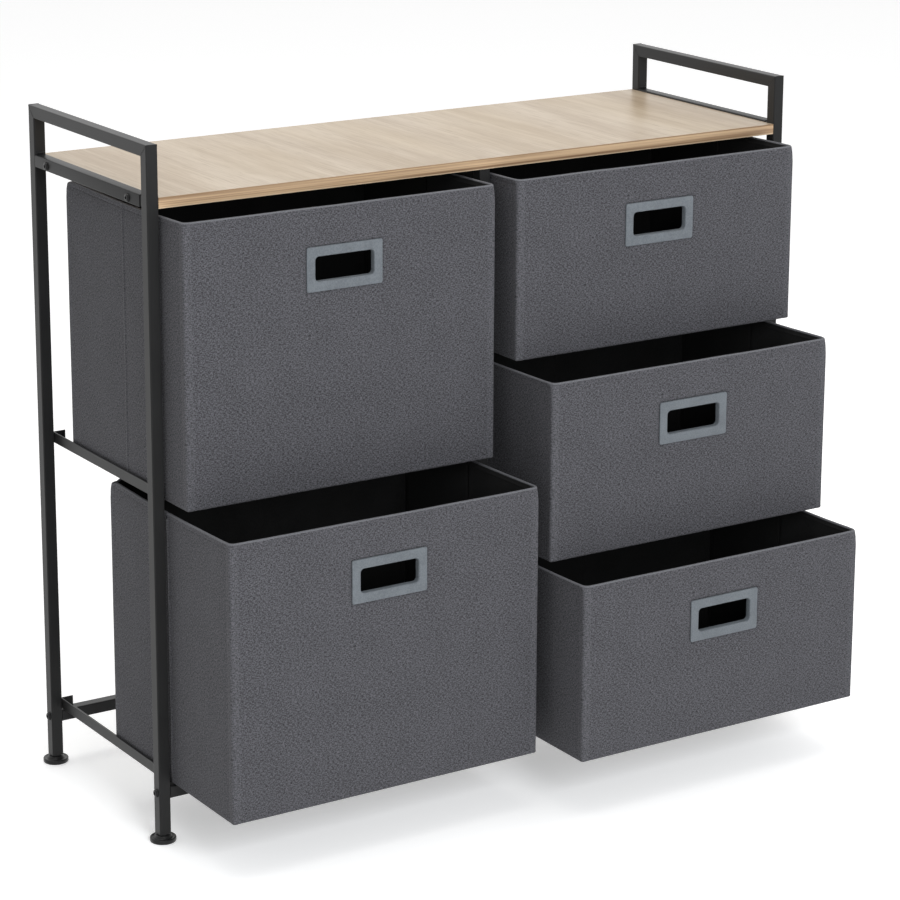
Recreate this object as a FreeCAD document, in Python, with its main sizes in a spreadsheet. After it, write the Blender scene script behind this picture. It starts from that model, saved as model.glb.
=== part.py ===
import FreeCAD, Part
import Sketcher
import os

# Fabric drawer dresser: two welded side frames and a divider of square steel tube, joined by
# cross bars and an oak-faced top panel, with five board-stiffened fabric bins on angle runners.
# Millimetres. +X is the dresser's right, -Y its front, +Z up. The bins are drawn part way out,
# each by its own amount. The origin is on the floor, under the middle of the space that the
# dresser takes up with its bins drawn out like this.

SIZES = {
    # frame
    "overall_width": 920,
    "overall_depth": 312,
    "overall_height": 852,
    "tube_size": 15,
    "tube_wall": 1.2,
    "tube_corner": 1.5,
    "foot_rise": 10,            # floor to the lower end of the posts
    "table_height": 790,        # floor to the top of the panel
    "rail_step": 2,             # the side rails stand this much above the panel
    "bar_height": 55,           # floor to the underside of the cross bars
    # top panel
    "panel_thickness": 13,
    "panel_edge": 0.6,
    # runners
    "runner_lift": 1.5,         # cross bars to the underside of the lowest runners
    "runner_flange": 14,
    "runner_ledge": 17,
    "runner_gauge": 1.5,
    "runner_inset": 10,         # the runners end this far inside the frame's faces
    "left_pitch": 353.5,        # one pair of runners to the next, left column
    "right_pitch": 236.25,      # the same, right column
    # bins
    "bin_depth": 304,
    "tall_bin_height": 342,
    "short_bin_height": 226,
    "bin_wall": 4,
    "bin_floor": 3,
    "bin_corner": 7,
    "bin_side_gap": 4,          # bin to the post on its left
    "bin_spare_gap": 9.5,       # bin to the post on its right
    "bin_rest_gap": 0.2,        # bin to the ledge that it slides on
    "bin_stop_gap": 0.5,        # pushed-in bin to the runner's stop tab
    "board_thickness": 3,
    "board_gap": 1.5,
    # finger-hole grommets
    "plate_width": 103,
    "plate_height": 54,
    "plate_thickness": 2,
    "plate_drop": 47,           # bin's rim to the plate's top edge
    "hole_width": 80,
    "hole_height": 30,
    "hole_corner": 5,
    "collar_wall": 1.6,
    "collar_gap": 0.3,
    "backing_margin": 5,
    "backing_thickness": 2,
    # how far each bin is drawn out, from where it meets its stop tabs
    "upper_left_pull": 46,
    "lower_left_pull": 146,
    "upper_right_pull": 51,
    "middle_right_pull": 130,
    "lower_right_pull": 203,    # the furthest out of the five
    # feet
    "foot_radius": 16,
    "foot_thickness": 5.5,
    "stud_radius": 4,
    "stud_length": 14,
    "plug_length": 20,
    "plug_gap": 0.1,
    "running_gap": 0.05,
    # fasteners
    "bolt_radius": 3,
    "bolt_gap": 0.3,
    "thread_gap": 0.05,
    "head_radius": 5.25,
    "head_height": 3,
    "insert_length": 18,
    "insert_bite": 14,          # bolt thread inside the insert
    "panel_bolt_inset": 48,     # frame faces to the panel bolts, along the side rails
    "panel_bolt_bite": 27,      # bolt inside the panel
    "barrel_radius": 5,
    "barrel_setback": 24,
    "barrel_cover": 2,          # board left above each barrel nut
    "screw_radius": 2,
    "screw_head_radius": 4,
    "screw_head_height": 2.4,
    "screw_bite": 9,
    "screw_inset": 60,
}

doc = FreeCAD.newDocument("fabric_drawer_dresser")
sheet = doc.addObject("Spreadsheet::Sheet", "Sizes")
for row, (alias, number) in enumerate(SIZES.items(), start=1):
    sheet.set("A%d" % row, alias)
    sheet.set("B%d" % row, str(number))
    sheet.setAlias("B%d" % row, alias)
doc.recompute()


class Size:
    """A length known both as a number and as an expression on the sheet."""

    def __init__(self, number, text):
        self.number = float(number)
        self.text = text

    def __add__(self, other):
        other = size(other)
        return Size(self.number + other.number, "(%s + %s)" % (self.text, other.text))

    def __sub__(self, other):
        other = size(other)
        return Size(self.number - other.number, "(%s - %s)" % (self.text, other.text))

    def __mul__(self, factor):
        return Size(self.number * factor, "%s * %s" % (self.text, factor))

    def __truediv__(self, divisor):
        return Size(self.number / divisor, "%s / %s" % (self.text, divisor))

    def __neg__(self):
        return Size(-self.number, "(0 - %s)" % self.text)


def size(value):
    """A named cell of the sheet, or a plain number, as a Size."""
    if isinstance(value, Size):
        return value
    if isinstance(value, str):
        return Size(SIZES[value], "Sizes.%s" % value)
    return Size(value, "%s" % value)


ZERO = size(0)
VECTOR = FreeCAD.Vector
UP_TO_BACK = FreeCAD.Rotation(VECTOR(1, 0, 0), -90)     # a part's own Z runs to the back
UP_TO_RIGHT = FreeCAD.Rotation(VECTOR(0, 1, 0), 90)     # a part's own Z runs to the right
UP_TO_FRONT = FreeCAD.Rotation(VECTOR(1, 0, 0), 90)     # own Z to the front, own Y upward
TURNED_TO_BACK = FreeCAD.Rotation(VECTOR(0, 1, 1), 180)     # own Z to the back, own X to the left


def bind(target, prop, value):
    target.setExpression(prop, size(value).text)


def place(item, x=0, y=0, z=0, rotation=None):
    """Puts a sub-part in the dresser's frame, its position bound to the sheet."""
    if rotation is not None:
        item.Placement = FreeCAD.Placement(VECTOR(), rotation)
    for axis, value in zip("xyz", (x, y, z)):
        bind(item, "Placement.Base.%s" % axis, value)
    return item


# Sketches and features

def new_body(label):
    body = doc.addObject("PartDesign::Body", label)
    body.Label = label
    return body


def sketch_on(body, role, offset=ZERO):
    """A sketch on one of the body's own origin planes, moved along the normal by offset."""
    plane = [feature for feature in body.Origin.OriginFeatures if feature.Role == role][0]
    sketch = body.newObject("Sketcher::SketchObject", "Profile")
    sketch.AttachmentSupport = [(plane, "")]
    sketch.MapMode = "FlatFace"
    if size(offset).number:
        bind(sketch, "AttachmentOffset.Base.z", offset)
    return sketch


def pin_point(sketch, geometry, end, x, y):
    """Holds a point of the sketch at x, y from the sketch's origin."""
    for kind, value, axis in (("DistanceX", x, -2), ("DistanceY", y, -1)):
        if abs(value.number) < 1e-9:
            sketch.addConstraint(Sketcher.Constraint("PointOnObject", geometry, end, axis))
        else:
            rule = Sketcher.Constraint(kind, -1, 1, geometry, end, value.number)
            bind(sketch, "Constraints[%d]" % sketch.addConstraint(rule), value)


def polygon(sketch, corners):
    """A closed outline with every corner bound to the sheet."""
    corners = [(size(x), size(y)) for x, y in corners]
    points = [VECTOR(x.number, y.number, 0) for x, y in corners]
    first = None
    for start, end in zip(points, points[1:] + points[:1]):
        index = sketch.addGeometry(Part.LineSegment(start, end), False)
        if first is None:
            first = index
        else:
            sketch.addConstraint(Sketcher.Constraint("Coincident", index - 1, 2, index, 1))
    sketch.addConstraint(Sketcher.Constraint("Coincident", index, 2, first, 1))
    for step, (x, y) in enumerate(corners):
        pin_point(sketch, first + step, 1, x, y)


def rectangle(sketch, x, y, width, height):
    x, y = size(x), size(y)
    right, top = x + width, y + height
    polygon(sketch, [(x, y), (right, y), (right, top), (x, top)])


def circle(sketch, x, y, radius):
    x, y, radius = size(x), size(y), size(radius)
    outline = Part.Circle(VECTOR(x.number, y.number, 0), VECTOR(0, 0, 1), radius.number)
    index = sketch.addGeometry(outline, False)
    pin_point(sketch, index, 3, x, y)
    rule = Sketcher.Constraint("Radius", index, radius.number)
    bind(sketch, "Constraints[%d]" % sketch.addConstraint(rule), radius)


def pad(body, sketch, length):
    feature = body.newObject("PartDesign::Pad", "Pad")
    feature.Profile = sketch
    bind(feature, "Length", length)
    doc.recompute()
    return feature


def pocket(body, sketch, depth=None, reverse=False):
    """Cuts the sketch out of the body, right through unless a depth is given."""
    before = body.Shape.Volume
    feature = body.newObject("PartDesign::Pocket", "Pocket")
    feature.Profile = sketch
    feature.Reversed = reverse
    if depth is None:
        feature.Type = "ThroughAll"
    else:
        bind(feature, "Length", depth)
    doc.recompute()
    if body.Shape.Volume > before - 1e-3:
        raise RuntimeError("a pocket in %s cut nothing" % body.Label)
    return feature


def edges_where(shape, test):
    """The names of a shape's straight edges whose two ends pass the test."""
    names = []
    for number, edge in enumerate(shape.Edges, start=1):
        if len(edge.Vertexes) == 2 and isinstance(edge.Curve, Part.Line):
            if test(edge.Vertexes[0].Point, edge.Vertexes[1].Point):
                names.append("Edge%d" % number)
    return names


def round_edges(body, radius, test, kind="PartDesign::Fillet"):
    """Fillets or chamfers the body's edges that pass the test."""
    names = edges_where(body.Shape, test)
    if not names:
        raise RuntimeError("no edge to round on %s" % body.Label)
    feature = body.newObject(kind, "Edge")
    feature.Base = (body.Tip if body.Tip != feature else feature.BaseFeature, names)
    bind(feature, "Radius" if kind.endswith("Fillet") else "Size", radius)
    doc.recompute()
    return feature


def near(first, second):
    return abs(first - second) < 1e-4


def turn(body, sketch, axis):
    """Turns the sketch a full circle about one of its own lines or axes."""
    feature = body.newObject("PartDesign::Revolution", "Turning")
    feature.Profile = sketch
    feature.ReferenceAxis = (sketch, [axis])
    feature.Angle = 360
    doc.recompute()


def turn_upright(body, outline, offset=ZERO):
    """Turns (radius, height) corners about the upright axis of a plane facing the front."""
    sketch = sketch_on(body, "XZ_Plane", offset)
    polygon(sketch, outline)
    turn(body, sketch, "V_Axis")


def turn_lying(body, outline, x, y):
    """Turns (radius, reach) corners about an axis along X that starts at x, y."""
    sketch = sketch_on(body, "XY_Plane")
    polygon(sketch, [(x + reach, y + radius) for radius, reach in outline])
    far_end = x + outline[-1][1]
    start = VECTOR(x.number, y.number, 0)
    end = VECTOR(far_end.number, y.number, 0)
    axis = sketch.addGeometry(Part.LineSegment(start, end), True)
    pin_point(sketch, axis, 1, x, y)
    pin_point(sketch, axis, 2, far_end, y)
    turn(body, sketch, "Axis0")


def headed_shank(head, head_height, shank, reach):
    """Outline of a bolt or screw: its head below zero and its shank up to reach."""
    return [(ZERO, -head_height), (head, -head_height), (head, ZERO),
            (shank, ZERO), (shank, reach), (ZERO, reach)]


def repeat(body, *roles):
    """Mirrors all of a body in its own origin planes, one plane after the other."""
    planes = {feature.Role: feature for feature in body.Origin.OriginFeatures}
    for role in roles:
        mirror = body.newObject("PartDesign::Mirrored", "Mirror")
        mirror.TransformMode = "Whole shape"
        mirror.MirrorPlane = (planes[role], [""])
        body.Tip = mirror
        doc.recompute()


def new_group(label):
    """A body for several identical loose pieces that count as one sub-part."""
    body = new_body(label)
    body.AllowCompound = True
    return body


# Levels and lines of the frame

tube = size("tube_size")
tube_inside = tube - size("tube_wall") * 2
depth = size("overall_depth")
half_width = size("overall_width") / 2
left_face = -half_width                             # outer face of the left side frame
left_post_face = left_face + tube                   # its inner face
right_post_face = half_width - tube
divider_left_face = -(tube / 2)
divider_right_face = tube / 2
bay_width = divider_left_face - left_post_face      # clear width of one column
stop_reach = size("runner_inset") + "runner_gauge"  # frame's rear face to the stop tabs
overhang = size("bin_depth") + "bin_stop_gap" + stop_reach - depth
front_reach = overhang + "lower_right_pull" + "plate_thickness"     # frame to foremost plate
rear_reach = size("foot_radius") - tube / 2         # frame to the rear of the feet
front_face = -((depth + rear_reach - front_reach) / 2)
rear_face = front_face + depth
rear_post_face = rear_face - tube
middle_line = front_face + depth / 2
post_line = tube / 2 - depth / 2                    # front posts' centre line, from mid-depth
panel_width = size("overall_width") - tube * 2
plug_width = tube_inside - size("plug_gap") * 2
barrel_depth = size("panel_thickness") - "barrel_cover"
rail_top = size("table_height") + "rail_step"
panel_bottom = size("table_height") - "panel_thickness"
bar_top = size("bar_height") + tube
bar_middle = size("bar_height") + tube / 2
panel_bolt_level = size("table_height") - size("panel_thickness") / 2
bolt_hole = size("bolt_radius") + "bolt_gap"
bolt_thread_hole = size("bolt_radius") + "thread_gap"
screw_hole = size("screw_radius") + "thread_gap"


def square_tube(label, length):
    """Square tube with rounded corners, standing on its own origin and as long as length."""
    body = new_body(label)
    sketch = sketch_on(body, "XY_Plane")
    wall = size("tube_wall")
    rectangle(sketch, 0, 0, tube, tube)
    rectangle(sketch, wall, wall, tube_inside, tube_inside)
    pad(body, sketch, length)
    across = tube.number

    def outer_corner(start, end):
        upright = near(start.x, end.x) and near(start.y, end.y)
        on_side = near(start.x, 0) or near(start.x, across)
        on_face = near(start.y, 0) or near(start.y, across)
        return upright and on_side and on_face

    round_edges(body, "tube_corner", outer_corner)
    return body


def drill_across(body, y, z):
    """A bolt hole through a tube, along the tube's own X."""
    sketch = sketch_on(body, "YZ_Plane")
    circle(sketch, y, z, bolt_hole)
    pocket(body, sketch, reverse=True)


def cut_mitre(body, corners):
    """Takes a triangular prism off a tube's end; corners are in the tube's own YZ plane."""
    sketch = sketch_on(body, "YZ_Plane")
    polygon(sketch, corners)
    pocket(body, sketch, reverse=True)


def side_frame(side, x):
    """Two posts, the mitred loop rail over them and the rail at table level."""
    post_length = size("overall_height") - "foot_rise"
    shoulder = post_length - tube
    bolt_height = bar_middle - "foot_rise"
    front = square_tube(side + "_front_post", post_length)
    cut_mitre(front, [(tube, shoulder), (tube, post_length), (ZERO, post_length)])
    drill_across(front, tube / 2, bolt_height)
    place(front, x, front_face, "foot_rise")

    rear = square_tube(side + "_rear_post", post_length)
    cut_mitre(rear, [(ZERO, shoulder), (tube, post_length), (ZERO, post_length)])
    drill_across(rear, tube / 2, bolt_height)
    place(rear, x, rear_post_face, "foot_rise")

    loop = square_tube(side + "_loop_rail", depth)
    cut_mitre(loop, [(ZERO, ZERO), (tube, ZERO), (tube, tube)])
    cut_mitre(loop, [(ZERO, depth), (tube, depth), (tube, depth - tube)])
    place(loop, x, front_face, "overall_height", UP_TO_BACK)

    span = depth - tube * 2
    rail = square_tube(side + "_table_rail", span)
    bolt_drop = rail_top - panel_bolt_level
    first_bolt = size("panel_bolt_inset") - tube
    drill_across(rail, bolt_drop, first_bolt)
    drill_across(rail, bolt_drop, span - first_bolt)
    place(rail, x, front_face + tube, rail_top, UP_TO_BACK)


def divider_frame():
    """Two posts on the cross bars and the tube over them that carries the panel."""
    height = panel_bottom - bar_top
    for name, y in (("front", front_face), ("rear", rear_post_face)):
        post = square_tube("divider_%s_post" % name, height)
        place(post, divider_left_face, y, bar_top)
    span = depth - tube * 2
    top = square_tube("divider_top_tube", span)
    sketch = sketch_on(top, "XZ_Plane")
    for reach in (size("screw_inset"), span - "screw_inset"):
        circle(sketch, tube / 2, reach, screw_hole)
    pocket(top, sketch)
    place(top, divider_left_face, front_face + tube, panel_bottom, UP_TO_BACK)


def cross_bar(name, y):
    """A bottom bar between the side frames, drilled for the divider's foot screw."""
    bar = square_tube(name + "_cross_bar", panel_width)
    sketch = sketch_on(bar, "YZ_Plane")
    circle(sketch, tube / 2, panel_width / 2, screw_hole)
    pocket(bar, sketch, reverse=True)
    place(bar, left_post_face, y, bar_top, UP_TO_RIGHT)


def runner(label, x, level, mirrored):
    """Angle runner: an upright flange against the posts, a ledge for the bin, a stop tab."""
    gauge = size("runner_gauge")
    flange = size("runner_flange")
    ledge = size("runner_ledge")
    length = depth - size("runner_inset") * 2
    body = new_body(label)
    angle = sketch_on(body, "XY_Plane")
    polygon(angle, [(ZERO, ZERO), (ledge, ZERO), (ledge, gauge),
                    (gauge, gauge), (gauge, flange), (ZERO, flange)])
    pad(body, angle, length)
    tab = sketch_on(body, "XY_Plane", length - gauge if mirrored else ZERO)
    rectangle(tab, 0, 0, ledge, flange)
    pad(body, tab, gauge)

    def bend(start, end):
        on_edge = all(near(value, 0) for value in (start.x, start.y, end.x, end.y))
        return on_edge and not near(start.z, end.z)

    round_edges(body, gauge, bend)
    if mirrored:
        place(body, x, front_face + "runner_inset", level, TURNED_TO_BACK)
    else:
        place(body, x, rear_face - "runner_inset", level, UP_TO_FRONT)


lowest = bar_top + "runner_lift"
LEFT_LEVELS = (("lower", lowest), ("upper", lowest + "left_pitch"))
RIGHT_LEVELS = (("lower", lowest),
                ("middle", lowest + "right_pitch"),
                ("upper", lowest + size("right_pitch") * 2))


def all_runners():
    for level_name, level in LEFT_LEVELS:
        runner("left_frame_%s_runner" % level_name, left_post_face, level, False)
        runner("divider_left_%s_runner" % level_name, divider_left_face, level, True)
    for level_name, level in RIGHT_LEVELS:
        runner("divider_right_%s_runner" % level_name, divider_right_face, level, False)
        runner("right_frame_%s_runner" % level_name, right_post_face, level, True)


# Top panel and fasteners

def top_panel():
    """The oak-faced board with its end bores, barrel nut bores and screw pilots."""
    body = new_body("top_panel")
    board = sketch_on(body, "XY_Plane")
    rectangle(board, 0, 0, panel_width, depth)
    pad(body, board, "panel_thickness")
    thickness = SIZES["panel_thickness"]

    def rim(start, end):
        flat = near(start.z, end.z)
        return flat and (near(start.z, 0) or near(start.z, thickness))

    round_edges(body, "panel_edge", rim, "PartDesign::Chamfer")
    bore_depth = size("panel_bolt_bite") + "bolt_gap"
    for y in (size("panel_bolt_inset"), depth - "panel_bolt_inset"):
        left_bore = sketch_on(body, "YZ_Plane")
        circle(left_bore, y, size("panel_thickness") / 2, bolt_hole)
        pocket(body, left_bore, bore_depth, reverse=True)
        right_bore = sketch_on(body, "YZ_Plane", panel_width)
        circle(right_bore, y, size("panel_thickness") / 2, bolt_hole)
        pocket(body, right_bore, bore_depth)
        barrels = sketch_on(body, "XY_Plane")
        for x in (size("barrel_setback"), panel_width - "barrel_setback"):
            circle(barrels, x, y, size("barrel_radius") + "thread_gap")
        pocket(body, barrels, barrel_depth, reverse=True)
    pilots = sketch_on(body, "XY_Plane")
    first_screw = tube + "screw_inset"
    for y in (first_screw, depth - first_screw):
        circle(pilots, panel_width / 2, y, screw_hole)
    pocket(body, pilots, size("screw_bite") + "bolt_gap", reverse=True)
    place(body, left_post_face, front_face, panel_bottom)


def side_bolts(label, y, z, bite):
    """Four bolts, one through each corner of the frame from its sides; y is from mid-depth."""
    outline = headed_shank(size("head_radius"), size("head_height"), size("bolt_radius"),
                           tube + bite)
    group = new_group(label)
    turn_lying(group, outline, left_face, y)
    repeat(group, "YZ_Plane", "XZ_Plane")
    place(group, 0, middle_line, z)


def panel_fasteners():
    """Bolts through the side rails into barrel nuts in the board's ends."""
    y = size("panel_bolt_inset") - depth / 2
    side_bolts("panel_bolts", y, panel_bolt_level, size("panel_bolt_bite"))
    nuts = new_group("panel_barrel_nuts")
    barrel = sketch_on(nuts, "XY_Plane")
    circle(barrel, left_post_face + "barrel_setback", y, "barrel_radius")
    pad(nuts, barrel, barrel_depth - "bolt_gap")
    bore = sketch_on(nuts, "YZ_Plane")
    circle(bore, y, size("panel_thickness") / 2, bolt_thread_hole)
    pocket(nuts, bore)
    repeat(nuts, "YZ_Plane", "XZ_Plane")
    place(nuts, 0, middle_line, panel_bottom)


def bar_fasteners():
    """One bolt through each post into the threaded insert in the end of a cross bar."""
    side_bolts("cross_bar_bolts", post_line, bar_middle, size("insert_bite"))
    inserts = new_group("cross_bar_inserts")
    section = sketch_on(inserts, "YZ_Plane", left_post_face)
    rectangle(section, post_line - plug_width / 2, -(plug_width / 2), plug_width, plug_width)
    circle(section, post_line, 0, bolt_thread_hole)
    pad(inserts, section, "insert_length")
    repeat(inserts, "YZ_Plane", "XZ_Plane")
    place(inserts, 0, middle_line, bar_middle)


def upward_screws(label, y, z):
    """Two screws driven upward under the divider; y is from mid-depth."""
    outline = headed_shank(size("screw_head_radius"), size("screw_head_height"),
                           size("screw_radius"), tube + "screw_bite")
    group = new_group(label)
    for side in (y, -y):
        turn_upright(group, outline, side)
    place(group, 0, middle_line, z)


def square_plugs(label, x, y, z, bore, roles):
    """Moulded plugs in the lower ends of posts, bored upward; x and y are from the middle."""
    plugs = new_group(label)
    section = sketch_on(plugs, "XY_Plane")
    rectangle(section, x - plug_width / 2, y - plug_width / 2, plug_width, plug_width)
    circle(section, x, y, bore)
    pad(plugs, section, "plug_length")
    repeat(plugs, *roles)
    place(plugs, 0, middle_line, z)


def divider_screws():
    """Screws up through the top tube into the board and up through the bars into the posts."""
    panel_screw_line = tube + "screw_inset" - depth / 2
    upward_screws("divider_panel_screws", panel_screw_line, panel_bottom - tube)
    upward_screws("divider_foot_screws", post_line, "bar_height")
    square_plugs("divider_post_plugs", ZERO, post_line, bar_top, screw_hole, ["XZ_Plane"])


def feet():
    """Round feet, each with a stud that turns in the plastic plug in the post's end."""
    stud = size("stud_radius")
    stud_end = size("foot_rise") + "stud_length"
    outline = [(ZERO, ZERO), ("foot_radius", ZERO), ("foot_radius", "foot_thickness"),
               (stud, "foot_thickness"), (stud, stud_end), (ZERO, stud_end)]
    for end, y in (("front", front_face + tube / 2), ("rear", rear_face - tube / 2)):
        for side, x in (("left", left_face + tube / 2), ("right", half_width - tube / 2)):
            foot = new_body("%s_%s_foot" % (side, end))
            turn_upright(foot, outline)
            place(foot, x, y, 0)
    square_plugs("foot_plugs", left_face + tube / 2, post_line, "foot_rise",
                 stud + "running_gap", ["YZ_Plane", "XZ_Plane"])


# Bins

def bin_parts(name, bay_face, level, height, pull):
    """One fabric bin with its base board and the two halves of its finger-hole grommet."""
    width = bay_width - "bin_side_gap" - "bin_spare_gap"
    length = size("bin_depth")
    height = size(height)
    wall = size("bin_wall")
    floor = size("bin_floor")
    x = size(bay_face) + "bin_side_gap"
    y = front_face - overhang - pull
    z = level + "runner_gauge" + "bin_rest_gap"
    collar_width = size("hole_width") + size("collar_wall") * 2
    collar_height = size("hole_height") + size("collar_wall") * 2
    plate_middle = height - "plate_drop" - size("plate_height") / 2
    cut_width = collar_width + size("collar_gap") * 2
    cut_height = collar_height + size("collar_gap") * 2

    shell = new_body(name + "_bin")
    outline = sketch_on(shell, "XY_Plane")
    rectangle(outline, 0, 0, width, length)
    pad(shell, outline, height)

    def corner(start, end):
        return near(start.x, end.x) and near(start.y, end.y)

    round_edges(shell, "bin_corner", corner)
    hollow = sketch_on(shell, "XY_Plane", height)
    rectangle(hollow, wall, wall, width - wall * 2, length - wall * 2)
    pocket(shell, hollow, height - floor)
    finger = sketch_on(shell, "XZ_Plane")
    rectangle(finger, width / 2 - cut_width / 2, plate_middle - cut_height / 2,
              cut_width, cut_height)
    pocket(shell, finger, wall)
    place(shell, x, y, z)

    board = new_body(name + "_base_board")
    edge = wall + "board_gap"
    sheet_outline = sketch_on(board, "XY_Plane")
    rectangle(sheet_outline, 0, 0, width - edge * 2, length - edge * 2)
    pad(board, sheet_outline, "board_thickness")
    place(board, x + edge, y + edge, z + floor)

    grommet_face(name, collar_width, collar_height, x + width / 2, y, z + plate_middle)
    grommet_backing(name, cut_width, cut_height, x + width / 2, y, z + plate_middle)


def centred_rectangle(sketch, width, height):
    width, height = size(width), size(height)
    rectangle(sketch, -(width / 2), -(height / 2), width, height)


def grommet_face(name, collar_width, collar_height, x, y, z):
    """Face plate with the collar that passes through the bin's front wall."""
    body = new_body(name + "_handle_face")
    plate = sketch_on(body, "XZ_Plane")
    centred_rectangle(plate, "plate_width", "plate_height")
    pad(body, plate, "plate_thickness")
    collar_reach = size("bin_wall") + "backing_thickness"
    collar = sketch_on(body, "XZ_Plane", -collar_reach)
    centred_rectangle(collar, collar_width, collar_height)
    pad(body, collar, collar_reach)
    opening = sketch_on(body, "XZ_Plane", -collar_reach)
    centred_rectangle(opening, "hole_width", "hole_height")
    pocket(body, opening, collar_reach + "plate_thickness", reverse=True)
    half_hole = SIZES["hole_width"] / 2

    def hole_corner(start, end):
        return near(start.z, end.z) and near(abs(start.x), half_hole) and near(start.x, end.x)

    round_edges(body, "hole_corner", hole_corner)
    place(body, x, y, z)


def grommet_backing(name, cut_width, cut_height, x, y, z):
    """Ring that clips on the collar inside the bin."""
    body = new_body(name + "_handle_backing")
    margin = size("backing_margin") * 2
    ring = sketch_on(body, "XZ_Plane", -(size("bin_wall") + "backing_thickness"))
    centred_rectangle(ring, cut_width + margin, cut_height + margin)
    centred_rectangle(ring, cut_width, cut_height)
    pad(body, ring, "backing_thickness")
    place(body, x, y, z)


def all_bins():
    left_bay = left_post_face
    right_bay = divider_right_face
    tall = "tall_bin_height"
    short = "short_bin_height"
    bin_parts("upper_left", left_bay, LEFT_LEVELS[1][1], tall, "upper_left_pull")
    bin_parts("lower_left", left_bay, LEFT_LEVELS[0][1], tall, "lower_left_pull")
    bin_parts("upper_right", right_bay, RIGHT_LEVELS[2][1], short, "upper_right_pull")
    bin_parts("middle_right", right_bay, RIGHT_LEVELS[1][1], short, "middle_right_pull")
    bin_parts("lower_right", right_bay, RIGHT_LEVELS[0][1], short, "lower_right_pull")


def check_and_export():
    """Stops on any failed feature, then writes one STEP file for each sub-part."""
    doc.recompute()
    for item in doc.Objects:
        if "Invalid" in item.State or "Error" in item.State:
            raise RuntimeError("%s is in state %s" % (item.Label, item.State))
    os.makedirs("parts", exist_ok=True)
    for item in doc.Objects:
        if item.isDerivedFrom("PartDesign::Body"):
            if item.Shape.isNull() or not item.Shape.isValid():
                raise RuntimeError("%s has no valid shape" % item.Label)
            item.Shape.exportStep("parts/%s.step" % item.Label)


side_frame("left", left_face)
side_frame("right", right_post_face)
divider_frame()
cross_bar("front", front_face)
cross_bar("rear", rear_post_face)
all_runners()
top_panel()
panel_fasteners()
bar_fasteners()
divider_screws()
feet()
all_bins()
check_and_export()
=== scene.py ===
"""Looks of the fabric drawer dresser: sewn bins, powder-coated tubes, oak-faced board."""

import math

import bmesh
import bpy
from mathutils import Matrix, Vector, noise


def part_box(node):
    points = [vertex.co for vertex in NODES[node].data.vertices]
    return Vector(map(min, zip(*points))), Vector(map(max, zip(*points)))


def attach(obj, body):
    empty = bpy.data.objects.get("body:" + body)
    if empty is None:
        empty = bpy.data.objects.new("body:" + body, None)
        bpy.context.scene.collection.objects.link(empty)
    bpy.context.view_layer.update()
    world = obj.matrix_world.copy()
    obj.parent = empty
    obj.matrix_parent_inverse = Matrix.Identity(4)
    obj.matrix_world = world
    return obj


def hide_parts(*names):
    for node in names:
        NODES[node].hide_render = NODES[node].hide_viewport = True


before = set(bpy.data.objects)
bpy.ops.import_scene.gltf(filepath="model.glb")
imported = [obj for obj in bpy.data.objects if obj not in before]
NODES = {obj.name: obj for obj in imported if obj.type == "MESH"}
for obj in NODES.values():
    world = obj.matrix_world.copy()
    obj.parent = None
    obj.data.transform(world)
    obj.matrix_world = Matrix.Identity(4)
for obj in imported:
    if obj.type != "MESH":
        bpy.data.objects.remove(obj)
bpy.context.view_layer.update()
MM = 0.001

# The camera looks to the right and down from the front left.

CAMERA_PLACE = (-2.0240, -3.1370, 1.5088)
CAMERA_YAW = 32.65
CAMERA_PITCH = -14.57
CAMERA_ROLL = 0.22
CAMERA_LENS = 123.4
CAMERA_SHIFT = -0.112


def make_camera():
    data = bpy.data.cameras.new("studio_camera")
    data.sensor_width = 36
    data.lens = CAMERA_LENS
    data.shift_y = CAMERA_SHIFT
    yaw = math.radians(CAMERA_YAW)
    pitch = math.radians(CAMERA_PITCH)
    roll = math.radians(CAMERA_ROLL)
    forward = Vector((math.sin(yaw) * math.cos(pitch), math.cos(yaw) * math.cos(pitch),
                      math.sin(pitch)))
    level = Vector((math.cos(yaw), -math.sin(yaw), 0))
    upright = level.cross(forward)
    right = level * math.cos(roll) + upright * math.sin(roll)
    up = upright * math.cos(roll) - level * math.sin(roll)
    camera = bpy.data.objects.new("studio_camera", data)
    turn = Matrix((right, up, -forward)).transposed().to_4x4()
    camera.matrix_world = Matrix.Translation(CAMERA_PLACE) @ turn
    bpy.context.scene.collection.objects.link(camera)
    bpy.context.scene.camera = camera


make_camera()


# Finishes

class Value:
    """A number in a finish's nodes. Sums and products of values add Math nodes."""

    def __init__(self, finish, socket):
        self.finish = finish
        self.socket = socket

    def worked(self, operation, first, second):
        settings = {"operation": operation}
        return self.finish.value("ShaderNodeMath", settings, {0: first, 1: second})

    def __add__(self, other):
        return self.worked("ADD", self, other)

    __radd__ = __add__

    def __sub__(self, other):
        return self.worked("SUBTRACT", self, other)

    def __rsub__(self, other):
        return self.worked("SUBTRACT", other, self)

    def __mul__(self, other):
        return self.worked("MULTIPLY", self, other)

    __rmul__ = __mul__

    def above(self, edge, softness):
        """0 under the edge and 1 over it, with a soft step between."""
        settings = {"interpolation_type": "SMOOTHSTEP"}
        sockets = {"Value": self, "From Min": edge - softness, "From Max": edge + softness}
        return self.finish.value("ShaderNodeMapRange", settings, sockets)


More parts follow.
